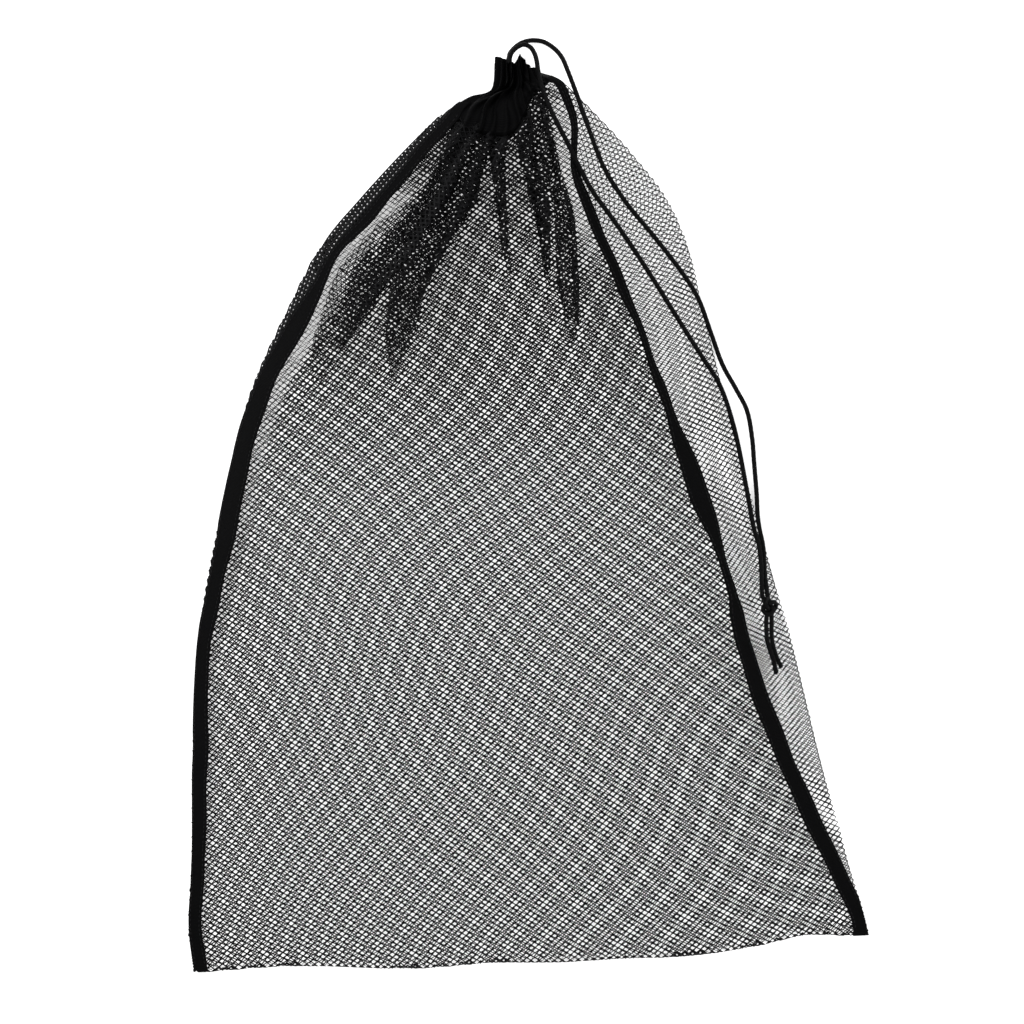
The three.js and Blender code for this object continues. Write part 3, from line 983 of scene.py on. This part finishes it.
def pleat_layer(lift, turn, strand_wide, rows):
    """A pleat pressed flat: netting that runs over its top and back under it, down to the casing."""
    y, x, half = np.array(rows, float).T
    along = np.concatenate([[0], np.cumsum(np.hypot(np.diff(x), np.diff(y)))])

    def half_at(far):
        return np.interp(far, along, half)

    def plan_of(aside, far):
        after = far + PLEAT_AHEAD
        before = far - PLEAT_AHEAD
        ahead_x = np.interp(after, along, x) - np.interp(before, along, x)
        ahead_y = np.interp(after, along, y) - np.interp(before, along, y)
        ahead = np.maximum(np.hypot(ahead_x, ahead_y), 1e-6)
        plan_x = np.interp(far, along, x) + aside * ahead_y / ahead
        plan_y = np.interp(far, along, y) - aside * ahead_x / ahead
        return plan_x, plan_y

    def keep(across, far):
        at, share = rows_of(*plan_of(across * 0, far))
        inside = np.abs(across) < 2 * half_at(far) + PLEAT_SPARE
        return inside & (far > 0) & (at < casing_start(share) + CASING_OVERLAP)

    def place(across, far):
        wide = np.maximum(half_at(far), PLEAT_LEAST)
        over = np.abs(across) <= wide
        aside = np.where(over, across, np.sign(across) * (2 * wide - np.abs(across)))
        swell = np.sqrt(np.maximum(0, 1 - np.clip(aside / wide, -1, 1) ** 4))
        settled = smooth(far, 0, PLEAT_SETTLE)
        thick = PLEAT_THICK * settled * (0.5 + np.where(over, 0.5, -0.5) * swell)
        height = mix(PLEAT_LOW, lift, settled) + thick
        plan_x, plan_y = plan_of(aside, far)
        at, share = rows_of(plan_x, plan_y)
        end = casing_start(share)
        height = height * (1 - PLEAT_SQUEEZE * smooth(at, end - PLEAT_SQUEEZE_ROWS, end))
        return np.stack([plan_x, plan_y, top_height(at, share) + height], -1)

    def fading(across, far):
        """Width of the strands, which grow thin at the tip of a pleat."""
        grown = stepped(smooth(far, 0, PLEAT_FADE), 6)
        return strand_wide * mix(PLEAT_TIP, 1, grown)

    reach = 2 * half.max() + PLEAT_SPARE
    corners = (-reach, 0, reach, along[-1])
    return net_layer(math.radians(turn), corners, fading, keep, place)


def join_layers(layers):
    """One mesh of several layers."""
    bm = layers[0]
    for other in layers[1:]:
        mesh = bpy.data.meshes.new("layer")
        other.to_mesh(mesh)
        other.free()
        bm.from_mesh(mesh)
        bpy.data.meshes.remove(mesh)
    return bm


def net_piece(name, layers):
    """A piece of netting made of layers."""
    piece = finish_piece(name, join_layers(layers), netting)
    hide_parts("net_body")


for part, (low_y, high_y) in FRONT_PARTS.items():
    corners = (FRONT_SIDES[0], low_y, FRONT_SIDES[1], high_y)
    layers = [net_layer(FRONT_TURN, corners, front_strand, front_keep, front_place)]
    if part == "upper":
        layers += [pleat_layer(*pleat) for pleat in PLEATS.values()]
    net_piece("net_front_" + part, layers)

for part, (low_y, high_y) in BACK_PARTS.items():
    corners = (BACK_SIDES[0], low_y, BACK_SIDES[1], high_y)
    layers = [net_layer(BACK_TURN, corners, back_strand, back_keep, back_place)]
    net_piece("net_back_" + part, layers)


# Tapes and stitches

def stitch_row(bm, line, ups):
    """Short raised stitches along a line."""
    for index in range(len(line) - 1):
        ahead = Vector(line[index + 1] - line[index]).normalized()
        up = Vector(ups[index])
        side = up.cross(ahead).normalized()
        up = ahead.cross(side)
        turn = Matrix((ahead, side, up)).transposed().to_4x4()
        middle = Vector((line[index] + line[index + 1]) / 2)
        size = Matrix.Diagonal((STITCH_LONG / 2, STITCH_RADIUS, STITCH_RADIUS * STITCH_FLAT, 1))
        bmesh.ops.create_uvsphere(bm, u_segments=6, v_segments=5, radius=1,
                                  matrix=Matrix.Translation(middle) @ turn @ size)


def tape_piece(side, widths):
    """Flat tape along a seam, on the netting, with its two rows of stitches."""
    edge_share = 0 if side == "left" else 1
    rows = np.linspace(TAPE_FIRST_ROW, widths[-1][0], TAPE_STEPS + 1)
    rows_wide = np.interp(rows, *np.array(widths).T)
    seam = seams_at(rows)[edge_share]
    centre = on_front(rows, seam, 0.0)
    length = np.concatenate([[0], np.cumsum(np.linalg.norm(np.diff(centre, axis=0), axis=1))])
    slow = DRIFT_SLOW[0] * np.sin(length / DRIFT_SLOW[1] + edge_share)
    drift = slow + DRIFT_QUICK[0] * np.sin(length / DRIFT_QUICK[1])
    if side == "left":
        drift += CORNER_ROUND * (1 - smooth(rows, *CORNER_ROWS))
    else:
        drift += TOP_LEAN * smooth(rows, *TOP_LEAN_ROWS)
    swell = TAPE_SWELL[0] * np.sin(length / TAPE_SWELL[1])

    def over(index, across, lift):
        share = seam[index] + (across + drift[index]) / width_at(rows[index])
        return on_front(rows[index], np.clip(share, *TAPE_SHARES), lift)

    def place(around, along):
        index = np.rint(along * TAPE_STEPS).astype(int)
        angle = 2 * np.pi * around
        flat = np.sign(np.cos(angle)) * np.abs(np.cos(angle)) ** TAPE_SQUARE.across
        thick = np.sign(np.sin(angle)) * np.abs(np.sin(angle)) ** TAPE_SQUARE.up
        half = rows_wide[index] / 2 + swell[index]
        across = flat * half
        lift = TAPE_LIFT + TAPE_THICK * (0.5 + 0.5 * thick)
        edge = np.clip(np.abs(flat) * 5 - 4, 0, 1)
        return over(index, across, lift), np.stack([across, length[index], edge], -1)

    tape = finish_piece(f"tape_{side}", sweep(TAPE_SIDES, TAPE_STEPS, place, "ribs"), tape_cloth)
    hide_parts(f"side_tape_{side}")
    bm = bmesh.new()
    count = int(length[-1] / STITCH_STEP)
    first, last = STITCH_ENDS
    stops = np.interp(np.linspace(first, length[-1] - last, count), length, np.arange(len(rows)))
    index = np.rint(stops).astype(int)
    for sign in (-1, 1):
        across = sign * (rows_wide[index] / 2 - STITCH_IN)
        line = over(index, across, TAPE_LIFT + TAPE_THICK + STITCH_LIFT)
        above = over(index, across, TAPE_LIFT + TAPE_THICK + STITCH_LIFT + 1)
        stitch_row(bm, line, above - line)
    stitches = finish_piece(f"tape_stitches_{side}", bm, thread)


tape_piece("left", LEFT_TAPE)
tape_piece("right", RIGHT_TAPE)


# Casing round the drawn mouth

def casing_point(around, row, inward):
    """Place on the ruffled wall of the casing, a distance in from its outside."""
    front = around < 0.5
    share = np.where(front, 2 * around, 2 - 2 * around)
    x, y = plan_at(row, share)
    start = casing_start(share)
    swell = mix(CASING_BULGE_START, 1, smooth(row, start, start + CASING_BULGE_ROWS))
    bulge = CASING_BULGE * swell * np.sin(np.pi * share) * (1 - smooth(row, *CASING_BULGE_ENDS))
    height = np.where(front, top_height(row, share) + bulge, under_height(row, share))
    angle = np.pi * (1 - 2 * around)
    hole_x = HOLE.x + HOLE.half_wide * np.cos(angle)
    hole_z = HOLE.z + HOLE.half_high * np.sin(angle)
    turn = 2 * np.pi * around
    slow, quick, climb = CASING_DRIFT
    drift = slow * np.sin(2 * turn) + quick * np.sin(5 * turn + 1) + climb * row
    ruffle = 0.5 - 0.5 * np.cos(CASING_PLEATS * turn + drift)
    depth = mix(*CASING_DEPTHS, smooth(row, start + CASING_DEEPENS, TOP_ROW)) * ruffle
    waves = CASING_RIM[0] * np.sin(7 * turn + 0.6) + CASING_RIM[1] * np.sin(11 * turn)
    rim = smooth(row, CASING_RIM_ROW, TOP_ROW) * waves
    away = np.hypot(hole_x - x, hole_z - height)
    depth = np.clip(depth + inward / np.maximum(away, 1), 0, CASING_DEEPEST)
    return np.stack([mix(x, hole_x, depth), y + rim, mix(height, hole_z, depth)], -1)


def casing_place(around, along):
    """Points up the outside of the casing and back down its inside."""
    out = along <= CASING_OUTSIDE
    climb = np.where(out, along / CASING_OUTSIDE, (1 - along) / (1 - CASING_OUTSIDE))
    share = np.where(around < 0.5, 2 * around, 2 - 2 * around)
    row = mix(casing_start(share), TOP_ROW, climb)
    top, bottom = CASING_CLOSING
    closing = np.clip((1 - climb) * top, 0, 1) * np.clip(climb * bottom, 0, 1)
    inward = np.where(out, 0, CASING_WALL * closing)
    places = casing_point(around % 1.0, row, inward)
    wide, tall = CASING_WEAVE
    return places, np.stack([around * wide, climb * tall, smooth(climb, CASING_WORN, 1)], -1)


casing_mesh = sweep(CASING_ROUND, CASING_LONG * 2, casing_place, "ribs", closed_along=True)
casing = finish_piece("casing", casing_mesh, casing_cloth)
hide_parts("mouth_casing")


# Floor, lights and camera

def add_floor():
    bm = bmesh.new()
    bmesh.ops.create_grid(bm, x_segments=1, y_segments=1, size=FLOOR_HALF)
    mesh = bpy.data.meshes.new("floor")
    bm.to_mesh(mesh)
    bm.free()
    floor = bpy.data.objects.new("floor", mesh)
    bpy.context.scene.collection.objects.link(floor)
    white = {"Base Color": (0.9, 0.9, 0.9, 1), "Roughness": 0.9, "Emission Color": (1, 1, 1, 1)}
    paper = Finish("white_paper", {**white, "Emission Strength": FLOOR_GLOW})
    mesh.materials.append(paper.material)


def add_light(name, place, size, power):
    light = bpy.data.lights.new(name, "AREA")
    light.shape = "DISK"
    light.size = size
    light.energy = power
    lamp = bpy.data.objects.new(name, light)
    lamp.location = place
    lamp.rotation_euler = (-Vector(place)).to_track_quat("-Z", "Y").to_euler()
    bpy.context.scene.collection.objects.link(lamp)


def add_camera():
    camera = bpy.data.cameras.new("camera")
    camera.sensor_width = SENSOR
    camera.lens = SENSOR * CAMERA_HEIGHT / CAMERA_VIEW
    viewer = bpy.data.objects.new("camera", camera)
    viewer.location = (CAMERA_CENTRE[0] * METRE, CAMERA_CENTRE[1] * METRE, CAMERA_HEIGHT * METRE)
    bpy.context.scene.collection.objects.link(viewer)
    bpy.context.scene.camera = viewer


add_floor()
for name, lamp in LAMPS.items():
    add_light(name, *lamp)
add_camera()

world = bpy.data.worlds.new("studio")
world.use_nodes = True
world.node_tree.nodes["Background"].inputs["Color"].default_value = (1, 1, 1, 1)
world.node_tree.nodes["Background"].inputs["Strength"].default_value = SURROUND
bpy.context.scene.world = world
bpy.context.scene.view_settings.view_transform = "Standard"
